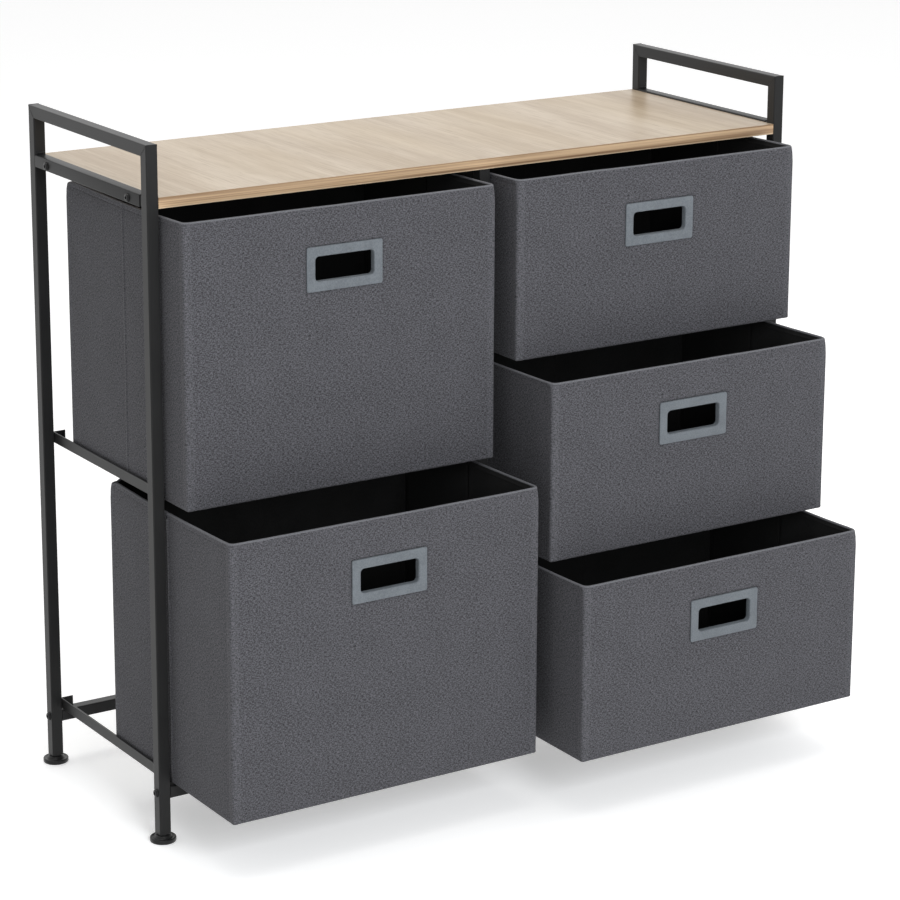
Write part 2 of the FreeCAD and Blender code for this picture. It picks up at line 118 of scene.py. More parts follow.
class Finish:
    """One material, from a Principled shader and the nodes that feed it."""

    def __init__(self, name, **constants):
        self.material = bpy.data.materials.new(name)
        self.material.use_nodes = True
        self.tree = self.material.node_tree
        self.tree.nodes.clear()
        self.shader = self.node("ShaderNodeBsdfPrincipled", {}, {
            key.replace("_", " "): value for key, value in constants.items()})
        self.node("ShaderNodeOutputMaterial", {}, {"Surface": self.shader.outputs[0]})

    def node(self, kind, settings, sockets):
        """A new node: its settings first, then a value or a link for each of its sockets."""
        made = self.tree.nodes.new(kind)
        for key, setting in settings.items():
            setattr(made, key, setting)
        for key, value in sockets.items():
            self.feed(made.inputs[key], value)
        return made

    def feed(self, socket, value):
        """Gives a socket its link, or its number or colour."""
        if isinstance(value, Value):
            self.tree.links.new(value.socket, socket)
        elif isinstance(value, bpy.types.NodeSocket):
            self.tree.links.new(value, socket)
        else:
            socket.default_value = value

    def value(self, kind, settings, sockets, output=0):
        """A new node's output as a number to work with."""
        return Value(self, self.node(kind, settings, sockets).outputs[output])

    def feed_shader(self, **sockets):
        """Gives the shader its sockets, named with _ for each blank."""
        for key, value in sockets.items():
            self.feed(self.shader.inputs[key.replace("_", " ")], value)

    def place(self):
        """Coordinates in metres that go with the piece."""
        return self.node("ShaderNodeTexCoord", {}, {}).outputs["Object"]

    def cloth(self):
        """Metres along and up a piece of cloth."""
        return self.node("ShaderNodeUVMap", {"uv_map": CLOTH_MAP}, {}).outputs[0]

    def painted_highlight(self):
        """How much painted highlight a piece of cloth has, from 0 to 1: a lighter yarn colour on
        its rim and beside its vertical corners, where light catches them.
        """
        highlight_amount = self.node("ShaderNodeUVMap", {"uv_map": PAINTED_HIGHLIGHT_MAP}, {}).outputs[0]
        return self.value("ShaderNodeSeparateXYZ", {}, {"Vector": highlight_amount}, "X")

    def stretched(self, coordinates, scale):
        """Coordinates with a scale of their own in each direction."""
        settings = {"operation": "MULTIPLY"}
        return self.node("ShaderNodeVectorMath", settings,
                         {0: coordinates, 1: scale}).outputs[0]

    def speckle(self, coordinates, scale, detail=2.0, roughness=0.5):
        """Soft noise between 0 and 1."""
        return self.value("ShaderNodeTexNoise", {}, {
            "Vector": coordinates, "Scale": scale, "Detail": detail, "Roughness": roughness})

    def threads(self, coordinates, pitch, direction):
        """Ridges that stand side by side at a pitch."""
        settings = {"wave_type": "BANDS", "bands_direction": direction}
        return self.value("ShaderNodeTexWave", settings, {
            "Vector": coordinates, "Scale": WAVES_PER_METRE / pitch, "Distortion": 0.0}, 1)

    def blend(self, share, first, second):
        """A colour between two, by a share from 0 to 1."""
        sockets = {"Factor": share, "A": first, "B": second}
        return self.node("ShaderNodeMix", {"data_type": "RGBA"}, sockets).outputs["Result"]

    def relief(self, height, distance, strength):
        """Bumps that rise by the distance where the height is 1."""
        bump = self.node("ShaderNodeBump", {}, {
            "Height": height, "Distance": distance, "Strength": strength})
        self.feed_shader(Normal=bump.outputs[0])


CLOTH_MAP = "Cloth"
# Map of the painted highlight: how much lighter yarn colour each point of the cloth gets
PAINTED_HIGHLIGHT_MAP = "PaintedHighlight"
WAVES_PER_METRE = math.tau / 20


def grey(level):
    return (level, level, level, 1)


YARN_DARK = (0.0155, 0.0153, 0.0165, 1)
YARN_LIGHT = (0.1150, 0.1145, 0.1265, 1)
# Lighter yarn for the painted highlight on the rims and beside the vertical corners
YARN_PAINTED_HIGHLIGHT = (0.200, 0.204, 0.220, 1)
YARN_PITCH = 1.3 * MM
WEFT_SLUBS = (300, 1200, 1)
WARP_SLUBS = (1150, 360, 1)
PEPPER_PER_METRE = 1050.0
CLOUDS_PER_METRE = 22.0


def make_linen():
    """Charcoal linen-look polyester: crossed heather threads of uneven thickness."""
    finish = Finish("charcoal_linen", Roughness=0.92, Specular_IOR_Level=0.2,
                    Sheen_Weight=0.06, Sheen_Roughness=0.5)
    cloth = finish.cloth()
    warp = finish.threads(cloth, YARN_PITCH, "X")
    weft = finish.threads(cloth, YARN_PITCH, "Y")
    across = finish.speckle(finish.stretched(cloth, WEFT_SLUBS), 1.0, 1.0)
    up = finish.speckle(finish.stretched(cloth, WARP_SLUBS), 1.0, 1.0)
    pepper = finish.speckle(cloth, PEPPER_PER_METRE, 1.0)
    cloud = finish.speckle(cloth, CLOUDS_PER_METRE, 3.0, 0.6)
    tone = across.above(0.5, 0.12) * 0.40 + up.above(0.5, 0.12) * 0.34
    tone = tone + pepper.above(0.5, 0.14) * 0.26 + (cloud - 0.5) * 0.14
    colour = finish.blend(tone.above(0.5, 0.56), YARN_DARK, YARN_LIGHT)
    # Painted highlight: the colour goes towards the lighter yarn on the rims and beside the
    # vertical corners
    finish.feed_shader(Base_Color=finish.blend(finish.painted_highlight() * 0.45, colour, YARN_PAINTED_HIGHLIGHT))
    finish.relief(warp * up + weft * across + pepper, 0.3 * MM, 0.6)
    return finish


THREAD_DARK = (0.10, 0.10, 0.105, 1)
THREAD_LIGHT = (0.19, 0.19, 0.20, 1)


def make_thread():
    """Grey sewing thread, a little lighter and darker along its twist."""
    finish = Finish("grey_thread", Roughness=0.6, Specular_IOR_Level=0.35, Sheen_Weight=0.1)
    twist = finish.speckle(finish.place(), 1600.0, 1.0)
    finish.feed_shader(Base_Color=finish.blend(twist, THREAD_DARK, THREAD_LIGHT))
    return finish


def make_lining():
    """Black non-woven lining: pressed fibres and small bonded dots."""
    finish = Finish("black_lining", Roughness=0.85, Specular_IOR_Level=0.3, Sheen_Weight=0.05)
    place = finish.place()
    fibres = finish.speckle(finish.stretched(place, (1, 1, 0.5)), 900.0, 3.0, 0.7)
    patches = finish.speckle(place, 25.0)
    tone = (fibres * 0.7 + patches * 0.3).above(0.5, 0.25)
    finish.feed_shader(Base_Color=finish.blend(tone, grey(0.008), grey(0.018)))
    finish.relief(fibres, 0.2 * MM, 0.5)
    return finish


def make_powder_coat():
    """Charcoal powder coat: a fine orange peel with a few denser patches."""
    finish = Finish("charcoal_powder_coat", Specular_IOR_Level=0.36)
    place = finish.place()
    peel = finish.speckle(place, 950.0)
    patches = finish.speckle(place, 18.0, 3.0)
    finish.feed_shader(
        Base_Color=finish.blend(patches, grey(0.015), grey(0.020)),
        Roughness=patches * 0.08 + 0.30 + peel * 0.06)
    finish.relief(peel, 0.12 * MM, 0.6)
    return finish


BOARD_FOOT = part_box("top_panel")[0].z
BOARD_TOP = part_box("top_panel")[1].z
GRAIN_TURN = math.radians(90)
OAK_DARK = (0.375, 0.283, 0.190, 1)
OAK_LIGHT = (0.52, 0.428, 0.322, 1)
OAK_GOLDEN = (0.475, 0.365, 0.225, 1)
OAK_PORE = (0.28125, 0.1981, 0.114, 1)
BAND_LIGHT = (0.55, 0.385, 0.235, 1)
BAND_DARK = (0.22, 0.13, 0.07, 1)
JOINT_BROWN = (0.20, 0.12, 0.06, 1)
CORE_PALE = (0.72, 0.58, 0.41, 1)
JOINT_HEIGHT = 1.5 * MM
CORE_HEIGHT = 1.3 * MM


def make_oak_face():
    """Oak print across the board: long fibres, broad figure, golden parts and short open pores."""
    finish = Finish("oak_face", Specular_IOR_Level=0.4)
    settings = {"Vector": finish.place(), "Rotation": (0, 0, GRAIN_TURN)}
    along = finish.node("ShaderNodeMapping", {}, settings).outputs[0]
    fibres = finish.speckle(finish.stretched(along, (3, 60, 60)), 1.0, 4.0, 0.6)
    fine = finish.speckle(finish.stretched(along, (9, 420, 420)), 1.0, 2.0, 0.6)
    figure = finish.speckle(finish.stretched(along, (2.6, 16, 16)), 1.0, 3.0, 0.6)
    pores = finish.speckle(finish.stretched(along, (30, 420, 420)), 1.0, 1.0)
    golden = finish.speckle(finish.stretched(along, (1.2, 5, 5)), 1.0)
    tone = figure * 0.50 + fibres * 0.33 + fine * 0.17
    colour = finish.blend(tone.above(0.5, 0.13), OAK_LIGHT, OAK_DARK)
    colour = finish.blend(pores.above(0.64, 0.07) * 0.45, colour, OAK_PORE)
    colour = finish.blend(golden.above(0.56, 0.12) * 0.45, colour, OAK_GOLDEN)
    finish.feed_shader(Base_Color=colour, Roughness=fine * 0.08 + 0.32)
    finish.relief(fine, 0.1 * MM, 0.2)
    return finish


def make_oak_edge():
    """The edge band: streaks along it, a dark joint under the face and a pale line at its foot."""
    finish = Finish("oak_edge_band", Roughness=0.5, Specular_IOR_Level=0.45)
    place = finish.place()
    height = finish.value("ShaderNodeSeparateXYZ", {}, {"Vector": place}, "Z")
    streaks = finish.speckle(finish.stretched(place, (3, 200, 420)), 1.0, 3.0, 0.6)
    bands = finish.speckle(finish.stretched(place, (1.2, 30, 130)), 1.0)
    tone = (streaks * 0.6 + bands * 0.4).above(0.52, 0.14)
    joint = height.above(BOARD_TOP - JOINT_HEIGHT, 0.3 * MM)
    core = 1 - height.above(BOARD_FOOT + CORE_HEIGHT, 0.4 * MM)
    colour = finish.blend(tone, BAND_LIGHT, BAND_DARK)
    colour = finish.blend(joint * 0.65, colour, JOINT_BROWN)
    colour = finish.blend(core * 0.5, colour, CORE_PALE)
    finish.feed_shader(Base_Color=colour)
    finish.relief(streaks, 0.1 * MM, 0.5)
    return finish


def make_moulded(name, dark, light, rough):
    """Moulded plastic or coated metal with a fine even texture."""
    finish = Finish(name, Specular_IOR_Level=0.5)
    place = finish.place()
    texture = finish.speckle(place, 1400.0)
    grain = finish.speckle(place, 600.0, 2.0, 0.6)
    patches = finish.speckle(place, 40.0)
    tone = (grain * 0.7 + patches * 0.3).above(0.5, 0.18)
    finish.feed_shader(Base_Color=finish.blend(tone, dark, light),
                       Roughness=texture * 0.1 + rough)
    finish.relief(texture, 0.08 * MM, 0.5)
    return finish


def make_zinc():
    """Zinc plating with a cloudy bloom."""
    finish = Finish("zinc_plate", Specular_IOR_Level=0.5, Metallic=1.0)
    place = finish.place()
    bloom = finish.speckle(place, 300.0, 3.0, 0.6)
    finish.feed_shader(Base_Color=finish.blend(bloom, grey(0.42), grey(0.62)),
                       Roughness=bloom * 0.2 + 0.3)
    return finish


LINEN = make_linen()
THREAD = make_thread()
LINING = make_lining()
COAT = make_powder_coat()
OAK_FACE = make_oak_face()
OAK_EDGE = make_oak_edge()
HANDLE_GREY = make_moulded("handle_grey", (0.098, 0.110, 0.122, 1),
                           (0.140, 0.157, 0.172, 1), 0.42)
FOOT_BLACK = make_moulded("foot_black", grey(0.011), grey(0.018), 0.32)
BOLT_BLACK = make_moulded("bolt_black", grey(0.007), grey(0.012), 0.18)
ZINC = make_zinc()


# Shapes

def rounded_rectangle(width, height, radius, y, steps=6):
    """Points round a centred rectangle in the XZ plane, at a depth y."""
    points = []
    for corner in range(4):
        middle_x = (width / 2 - radius) * (1 if corner in (0, 3) else -1)
        middle_z = (height / 2 - radius) * (1 if corner in (0, 1) else -1)
        for step in range(steps + 1):
            angle = math.pi / 2 * (corner + step / steps)
            points.append(Vector((middle_x + radius * math.cos(angle), y,
                                  middle_z + radius * math.sin(angle))))
    return points


def round_loop(radius, z, steps=48):
    return [Vector((radius * math.cos(math.tau * step / steps),
                    radius * math.sin(math.tau * step / steps), z)) for step in range(steps)]


def ring(middle, across, up, radius, steps):
    """A round loop in the plane of two directions."""
    return [middle + (across * math.cos(math.tau * step / steps)
                      + up * math.sin(math.tau * step / steps)) * radius
            for step in range(steps)]


def slab_loops(low, high, rows, radius, steps=6):
    """Level loops in a box; each row has its inset and its height above the box's foot."""
    middle = (low + high) / 2
    size = high - low
    loops = []
    for inset, z in rows:
        flat = rounded_rectangle(size.x - inset * 2, size.y - inset * 2, radius, 0, steps)
        loops.append([Vector((middle.x + point.x, middle.y + point.z, low.z + z))
                      for point in flat])
    return loops


def new_piece(name, corners, faces, finishes, face_finishes=None, sharp=40):
    mesh = bpy.data.meshes.new(name)
    mesh.from_pydata(corners, [], faces)
    for finish in finishes:
        mesh.materials.append(finish.material)
    if face_finishes:
        mesh.polygons.foreach_set("material_index", face_finishes)
    mesh.polygons.foreach_set("use_smooth", [True] * len(faces))
    mesh.set_sharp_from_angle(angle=math.radians(sharp))
    mesh.validate()
    piece = bpy.data.objects.new(name, mesh)
    bpy.context.scene.collection.objects.link(piece)
    return piece


def add_together(name, parts, finish, sharp=40):
    """One piece of several loose shapes, each given as corners and faces."""
    corners = []
    faces = []
    for part_corners, part_faces in parts:
        start = len(corners)
        corners += part_corners
        faces += [tuple(index + start for index in face) for face in part_faces]
    return new_piece(name, corners, faces, (finish,), sharp=sharp)


def skin(loops, capped=True, around=False):
    """Corners and faces of a surface through loops of points, each with as many points."""
    count = len(loops[0])
    corners = [point for loop in loops for point in loop]
    faces = []
    rows = len(loops) if around else len(loops) - 1
    for row in range(rows):
        upper = (row + 1) % len(loops)
        for spot in range(count):
            after = (spot + 1) % count
            faces.append((row * count + spot, row * count + after,
                          upper * count + after, upper * count + spot))
    if capped and not around:
        last = (len(loops) - 1) * count
        faces.append(tuple(reversed(range(count))))
        faces.append(tuple(range(last, last + count)))
    return corners, faces


# Bins

BIN_NAMES = ("upper_left", "lower_left", "upper_right", "middle_right", "lower_right")
WALL = 4 * MM
FLOOR = 3 * MM
CORNER = 9 * MM
LOWER_CORNER = 3 * MM
CORNER_OPENS = 20 * MM
CUT_WIDTH = 83.8 * MM
CUT_HEIGHT = 33.8 * MM
PLATE_WIDTH = 103 * MM
PLATE_HEIGHT = 54 * MM
HEM = 7 * MM
SEAMS = ((1, 1.4 * MM), (0.8, 4.8 * MM))
FOOT_ROUND = ((1.3 * MM, 0), (0.4 * MM, 0.4 * MM), (0, 1.3 * MM), (-0.25 * MM, 2.4 * MM))
LINING_ROUND = ((WALL + 0.3 * MM, FLOOR + 0.4 * MM), (WALL + 1.2 * MM, FLOOR))
RIM_BULGE = 0.15 * MM

# How far the cloth moves out of its flat panels, and over what width

RIPPLE = 0.45 * MM
SMALL_RIPPLE = 0.1 * MM
RIM_RIPPLE = 0.5 * MM
RIM_SAG = 2.5 * MM
RIM_ROLL = 0.3 * MM
RIM_ROLL_WIDTH = 3 * MM
REAR_SAG = 4 * MM
REAR_SAG_WIDTH = 5 * MM
SEAM_DIP = 0.3 * MM
SEAM_WIDTH = 0.9 * MM
SEAM_FADE = 12 * MM
HEM_DIP = 0.5 * MM
PLATE_DIP = 1.3 * MM
PLATE_DIP_WIDTH = 1.9 * MM
FRONT_SWELL = 0.7 * MM
FRONT_RIM_SWELL = 0.9 * MM
REAR_SWELL = 0.6 * MM
REAR_CREASE = 0.5 * MM
REAR_CREASE_WIDTH = 1.5 * MM
SIDE_SWELL = 0.5 * MM
FOLD_RIDGE = 0.7 * MM
FOLD_RIDGE_WIDTH = 1.4 * MM
FOLD_FLANK = 0.25 * MM
FOLD_FLANK_WIDTH = 2.5 * MM
FOLD_FLANK_PLACE = 4 * MM
FOLD_HOLLOW = 0.9 * MM
FOLD_HOLLOW_WIDTH = 40 * MM
# Share and width of the painted highlight beside the vertical corners; this is a colour, not a
# move
CORNER_HIGHLIGHT = 0.12
CORNER_HIGHLIGHT_WIDTH = 1.5 * MM

# Where a bin's mesh needs more lines than its grid has

GRID = 11 * MM
CORNER_STEPS = 10
RIM_STEPS = 8
LOW_MARKS = (4 * MM, 6 * MM, 9 * MM)
CREASE_MARKS = tuple(reach * MM for reach in (-7, -3.5, -1.8, -0.9, 0, 0.9, 1.8, 3.5, 7))
EDGE_MARKS = tuple(reach * MM for reach in (0.7, 1.4, 2.1, 3.1, 4.1, 4.8, 5.5, 7.5))
PLATE_MARKS = tuple(reach * MM for reach in (-1.5, -0.2, 0.6, 1.4, 2.4, 4.5))
HEM_MARKS = tuple(reach * MM for reach in (-2, -1, -0.5, 0, 0.5, 1, 2))
TINY = 1e-6


def stops(length, marks):
    """Distances from 0 to length that hit every mark, about a grid apart at most."""
    wanted = sorted({0.0, length, *(mark for mark in marks if 0 < mark < length)})
    found = []
    for first, second in zip(wanted, wanted[1:]):
        count = max(1, round((second - first) / GRID))
        found += [first + (second - first) * step / count for step in range(count)]
    return found + [length]


def beside(middle, size):
    """Marks that follow the two ends of a plate of this size, in and out of its outline."""
    return [middle + side * (size / 2 + reach) for side in (-1, 1) for reach in PLATE_MARKS]


class Station:
    """An upright line on a bin's wall."""

    def __init__(self, anchor, outward, along, panel, reach, length):
        self.anchor = anchor
        self.outward = outward
        self.along_wall = Vector((-outward.y, outward.x, 0))
        self.along = along
        self.panel = panel
        self.reach = reach
        self.length = length


def bin_stations(width, depth):
    """Upright lines round a bin from its rear left corner, by the left side and the front."""
    runs = (("left", Vector((CORNER, depth - CORNER, 0)), Vector((0, -1, 0)), depth),
            ("front", Vector((CORNER, CORNER, 0)), Vector((1, 0, 0)), width),
            ("right", Vector((width - CORNER, CORNER, 0)), Vector((0, 1, 0)), depth),
            ("rear", Vector((width - CORNER, depth - CORNER, 0)), Vector((-1, 0, 0)), width))
    found = []
    along = 0.0
    for panel, start, heading, size in runs:
        length = size - CORNER * 2
        outward = Vector((heading.y, -heading.x, 0))
        marks = list(EDGE_MARKS) + [length - reach for reach in EDGE_MARKS]
        if panel == "front":
            marks += [length / 2 - CUT_WIDTH / 2, length / 2 + CUT_WIDTH / 2]
            marks += beside(length / 2, PLATE_WIDTH)
        else:
            marks += [length / 2 + reach for reach in CREASE_MARKS]
        for reach in stops(length, marks):
            found.append(Station(start + heading * reach, outward, along + reach,
                                 panel, reach, length))
        along += length
        arc = CORNER * math.pi / 2
        for step in range(1, CORNER_STEPS):
            turned = Matrix.Rotation(math.pi / 2 * step / CORNER_STEPS, 3, "Z") @ outward
            found.append(Station(start + heading * length, turned,
                                 along + arc * step / CORNER_STEPS, "corner",
                                 math.pi / 2 * step / CORNER_STEPS, 1))
        along += arc
    return found, along


def bell(distance, width):
    """1 at no distance, falling to nothing within about twice the width."""
    return math.exp(-(distance / width) ** 2)


def corner_reach(turned, radius):
    """How far a rounded corner is from its anchor, in a direction turned from one wall."""
    turned = min(turned, math.pi / 2 - turned)
    inset = CORNER - radius
    if math.tan(turned) <= inset / CORNER:
        return CORNER / math.cos(turned)
    both = inset * (math.cos(turned) + math.sin(turned))
    return both + math.sqrt(both ** 2 - 2 * inset ** 2 + radius ** 2)


def slack(station, z, height, plate_middle, seed):
    """How far the wall stands out of its flat panel, in metres."""
    spot = (station.anchor + Vector((0, 0, z))) * 9 + Vector((seed, seed * 2, 0))
    ripple = noise.noise(spot) * RIPPLE + noise.noise(spot * 4) * SMALL_RIPPLE
    if station.panel == "corner":
        opened = min(1.0, max(0.0, 1 - (height - z) / CORNER_OPENS)) ** 2
        radius = LOWER_CORNER + (CORNER - LOWER_CORNER) * opened
        return ripple * 0.5 + corner_reach(station.reach, radius) - CORNER
    middle = station.reach - station.length / 2
    edge = min(station.reach, station.length - station.reach)
    swell = math.sin(math.pi * station.reach / station.length)
    rise = math.sin(math.pi * min(1.0, z / height))
    out = ripple * (0.5 + 0.5 * min(1.0, edge / SEAM_FADE))
    for share, seam in SEAMS:
        out -= SEAM_DIP * share * bell(edge - seam, SEAM_WIDTH)
    out += RIM_ROLL * bell(height - z, RIM_ROLL_WIDTH)
    out -= HEM_DIP * bell(height - HEM - z, SEAM_WIDTH)
    if station.panel == "front":
        out += swell * (FRONT_SWELL * rise + FRONT_RIM_SWELL * (z / height) ** 3)
        past_side = max(0.0, abs(middle) - PLATE_WIDTH / 2)
        past_end = max(0.0, abs(z - plate_middle) - PLATE_HEIGHT / 2)
        out -= PLATE_DIP * bell(math.hypot(past_side, past_end), PLATE_DIP_WIDTH)
    elif station.panel == "rear":
        out += REAR_SWELL * swell * rise - REAR_CREASE * bell(middle, REAR_CREASE_WIDTH)
    else:
        out += SIDE_SWELL * swell * rise - FOLD_HOLLOW * bell(middle, FOLD_HOLLOW_WIDTH) * rise
        out += FOLD_RIDGE * bell(middle, FOLD_RIDGE_WIDTH)
        out -= FOLD_FLANK * bell(abs(middle) - FOLD_FLANK_PLACE, FOLD_FLANK_WIDTH)
    return out


def bin_profile(height, marks):
    """Insets and heights up a wall, over its rim and down the lining, and where each starts."""
    rim_middle = height - WALL / 2
    levels = [level for level in stops(rim_middle, marks) if level > 2.5 * MM]
    rows = list(FOOT_ROUND)
    outer_start = len(rows)
    rows += [(0, level) for level in levels]
    rim_start = len(rows)
    for step in range(1, RIM_STEPS):
        angle = math.pi * step / RIM_STEPS
        rows.append((WALL / 2 - (WALL / 2 + RIM_BULGE) * math.cos(angle),
                     rim_middle + WALL / 2 * math.sin(angle)))
    inner_start = len(rows)
    rows += [(WALL, level) for level in reversed(levels) if level > FLOOR + 1.5 * MM]
    rows += LINING_ROUND
    return rows, outer_start, rim_start, inner_start


def make_bin(name, seed):
    """A sewn fabric bin: linen outside and over the rim, black lining inside and below."""
    low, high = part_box(name + "_bin")
    width, depth, height = high - low
    plate_low, plate_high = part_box(name + "_handle_face")
    plate_middle = (plate_low.z + plate_high.z) / 2 - low.z
    stations, around = bin_stations(width, depth)
    cut_low = plate_middle - CUT_HEIGHT / 2
    cut_high = plate_middle + CUT_HEIGHT / 2
    marks = [*LOW_MARKS, cut_low, cut_high, height - WALL / 2 - 2 * MM]
    marks += [height - HEM + reach for reach in HEM_MARKS]
    marks += beside(plate_middle, PLATE_HEIGHT)
    profile, outer_start, rim_start, inner_start = bin_profile(height, marks)

    def wall_point(station, inset, z):
        """A point on the bin's wall, this far in from its outer face."""
        out = slack(station, z, height, plate_middle, seed)
        point = station.anchor + station.outward * (CORNER - inset + out)
        dip = noise.noise(station.anchor * 11 + Vector((seed, 0, 7))) * RIM_RIPPLE
        if station.panel in ("left", "right"):
            dip -= RIM_SAG * math.sin(math.pi * station.reach / station.length)
        from_rear = depth - station.anchor.y - CORNER
        from_side = min(station.anchor.x, width - station.anchor.x) - CORNER
        dip -= REAR_SAG * bell(from_rear, REAR_SAG_WIDTH) * bell(from_side, REAR_SAG_WIDTH)
        return low + point + Vector((0, 0, z + dip * (z / height) ** 4))

    count = len(stations)
    corners = []
    heights = []
    for inset, z in profile:
        heights.append(z)
        corners += [wall_point(station, inset, z) for station in stations]

    cut_stations = [index for index, station in enumerate(stations)
                    if station.panel == "front"
                    and abs(station.reach - station.length / 2) < CUT_WIDTH / 2 + TINY]
    first_cut, last_cut = cut_stations[0], cut_stations[-1]

    def in_cut(row, spot):
        lower, upper = sorted(heights[row:row + 2])
        within = lower > cut_low - TINY and upper < cut_high + TINY
        return within and first_cut <= spot < last_cut

    # Painted highlight: full on the rim rows, a little beside the vertical corners
    highlight_amount = []
    for row, z in enumerate(heights):
        on_rim = rim_start <= row < inner_start
        for station in stations:
            edge = min(station.reach, station.length - station.reach)
            by_corner = 1.0 if station.panel == "corner" else bell(edge, CORNER_HIGHLIGHT_WIDTH)
            highlight_amount.append(1.0 if on_rim else CORNER_HIGHLIGHT * by_corner)

    faces = []
    cloth = []
    highlight_uv = []
    face_finishes = []
    travel = [0.0]
    for (inset, z), (next_inset, next_z) in zip(profile, profile[1:]):
        travel.append(travel[-1] + math.hypot(next_inset - inset, next_z - z))
    for row in range(len(profile) - 1):
        lined = row >= inner_start
        for spot in range(count):
            if in_cut(row, spot):
                continue
            after = (spot + 1) % count
            faces.append((row * count + spot, row * count + after,
                          (row + 1) * count + after, (row + 1) * count + spot))
            start = stations[spot].along
            end = stations[after].along if after else around
            cloth += [(start, travel[row]), (end, travel[row]),
                      (end, travel[row + 1]), (start, travel[row + 1])]
            highlight_uv += [(highlight_amount[index], 0) for index in faces[-1]]
            face_finishes.append(1 if lined else 0)
    bottom = tuple(reversed(range(count)))
    last = (len(profile) - 1) * count
    inside = tuple(range(last, last + count))
    for flat in (bottom, inside):
        faces.append(flat)
        cloth += [(corners[index].x, corners[index].y) for index in flat]
        highlight_uv += [(0, 0)] * count
        face_finishes.append(1)

    outer_rows = {round(heights[row] / MM, 3): row for row in range(outer_start, inner_start)}
    inner_rows = {round(heights[row] / MM, 3): row for row in range(inner_start, len(profile))}
    cut_rows = sorted(key for key in inner_rows
                      if cut_low / MM - 1e-3 < key < cut_high / MM + 1e-3)

    def reveal(first, second):
        """A strip of the cut edge between the outer and the inner face of the wall."""
        (key_a, spot_a), (key_b, spot_b) = first, second
        faces.append((outer_rows[key_a] * count + spot_a, inner_rows[key_a] * count + spot_a,
                      inner_rows[key_b] * count + spot_b, outer_rows[key_b] * count + spot_b))
        cloth.extend([(0, 0), (WALL, 0), (WALL, GRID), (0, GRID)])
        highlight_uv.extend([(0, 0)] * 4)
        face_finishes.append(0)

    lowest, highest = cut_rows[0], cut_rows[-1]
    for spot in range(first_cut, last_cut):
        reveal((lowest, spot + 1), (lowest, spot))
        reveal((highest, spot), (highest, spot + 1))
    for key, above in zip(cut_rows, cut_rows[1:]):
        reveal((key, first_cut), (above, first_cut))
        reveal((above, last_cut), (key, last_cut))

    piece = new_piece(name + "_sewn_bin", corners, faces, (LINEN, LINING), face_finishes, 60)
    for map_name, pairs in ((CLOTH_MAP, cloth), (PAINTED_HIGHLIGHT_MAP, highlight_uv)):
        layer = piece.data.uv_layers.new(name=map_name)
        layer.uv.foreach_set("vector", [value for pair in pairs for value in pair])
    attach(piece, name + "_bin")
    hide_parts(name + "_bin")

    folds = [station for station in stations if station.panel in ("left", "right")
             and abs(station.reach - station.length / 2) < TINY]
    make_fold_stitches(name, height, folds, wall_point)


STITCH_PITCH = 3.6 * MM
STITCH_LENGTH = 2.7 * MM
STITCH_MARGIN = 7 * MM
THREAD_RADIUS = 0.32 * MM

# Share of the stitch's length, millimetres above the cloth and share of the thread's radius

STITCH_SHAPE = ((0, -0.1, 0.5), (0.08, 0.1, 0.9), (0.5, 0.2, 1), (0.92, 0.1, 0.9), (1, -0.1, 0.5))


def make_fold_stitches(name, height, folds, wall_point):
    """A row of stitches up the fold on each side of a bin."""
    stitches = []
    for station in folds:
        for number in range(int((height - STITCH_MARGIN * 2) / STITCH_PITCH)):
            start = STITCH_MARGIN + number * STITCH_PITCH
            loops = []
            for share, rise, swell in STITCH_SHAPE:
                middle = wall_point(station, -rise * MM, start + STITCH_LENGTH * share)
                loops.append(ring(middle, station.outward, station.along_wall,
                                  THREAD_RADIUS * swell, 6))
            stitches.append(skin(loops))
    row = add_together(name + "_fold_stitches", stitches, THREAD, 60)
    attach(row, name + "_bin")


PAD_EDGE = 1.2 * MM
PAD_CORNER = 3 * MM
PAD_SEAM = 8 * MM
PAD_SEAM_DEPTH = 0.5 * MM


def make_base_pad(name):
    """The loose base board in its sewn black cover."""
    node = name + "_base_board"
    low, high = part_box(node)
    top = high.z - low.z
    rows = [(PAD_EDGE, 0), (PAD_EDGE * 0.3, PAD_EDGE * 0.3), (0, PAD_EDGE), (0, top - PAD_EDGE),
            (PAD_EDGE * 0.3, top - PAD_EDGE * 0.3), (PAD_EDGE, top),
            (PAD_SEAM - 1 * MM, top - 0.1 * MM), (PAD_SEAM, top - PAD_SEAM_DEPTH),
            (PAD_SEAM + 1 * MM, top - 0.1 * MM), (PAD_SEAM + 6 * MM, top)]
    loops = slab_loops(low, high, rows, PAD_CORNER)
    piece = new_piece(name + "_covered_base", *skin(loops), (LINING,), sharp=50)
    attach(piece, name + "_bin")
    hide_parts(node)


HOLE_WIDTH = 80 * MM
HOLE_HEIGHT = 30 * MM
HOLE_CORNER = 5 * MM
PLATE_CORNER = 2.6 * MM
PLATE_THICKNESS = 2 * MM
PLATE_EDGE = 0.9 * MM
PLATE_LIP = 0.8 * MM
COLLAR_WALL = 1.6 * MM
EDGE_STEPS = 4


